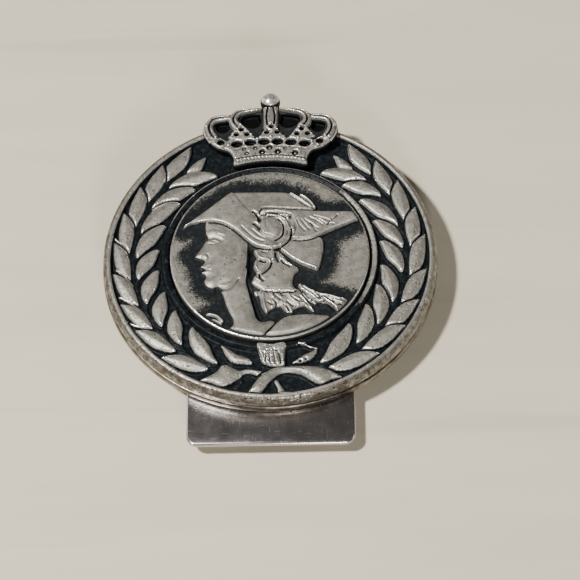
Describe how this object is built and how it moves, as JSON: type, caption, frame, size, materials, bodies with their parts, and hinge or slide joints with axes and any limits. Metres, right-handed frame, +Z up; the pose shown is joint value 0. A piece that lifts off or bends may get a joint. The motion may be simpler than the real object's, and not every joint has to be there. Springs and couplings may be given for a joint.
{
  "type": "ball marker",
  "caption": "Round golf ball marker that sits on a magnet in a wreathed, crowned medallion on a folded spring clip.",
  "frame": {"origin": "on the medallion's axis, in the plane of the rear leaf's flat underside, which is what the part rests on", "axes": "+Z up, out of the medallion's face; +Y towards the crown; -Y towards the clip's free end; +X to the right as one looks at the face"},
  "size_m": [0.038, 0.0445, 0.0074],
  "materials": {
    "struck_silver": "struck silver with a dark oxide in the recesses, rubbed back on the relief",
    "antique_silver": "cast, oxidised nearly black in the recesses and rubbed back to satin silver on the high parts",
    "plate_silver": "satin silver plate with brown tarnish specks",
    "magnet_nickel": "nickel plated magnet",
    "polished_spring_steel": "polished spring strip with fine scratches",
    "rivet_steel": "peened, bright on top"
  },
  "bodies": {
    "rear_leaf": {"clip_rear_leaf": "polished_spring_steel"},
    "medallion": {"clip_front_leaf": "polished_spring_steel", "back_plate": "plate_silver", "wreath_frame": "antique_silver", "crown": "antique_silver", "seat_magnet": "magnet_nickel", "clip_rivets": "rivet_steel"},
    "marker": {"ball_marker": "struck_silver"}
  },
  "joints": [
    {"name": "clip_flex", "type": "hinge", "parent": "rear_leaf", "child": "medallion", "pos_m": [0, 0.01475, 0.00125], "axis": [-1, 0, 0], "range_deg": [0, 10], "stiffness_Nm_per_rad": 1.2, "springref_deg": -2.86},
    {"name": "marker_lift", "type": "slide", "parent": "medallion", "child": "marker", "axis": [0, 0, 1], "range_m": [0, 0.006]}
  ]
}
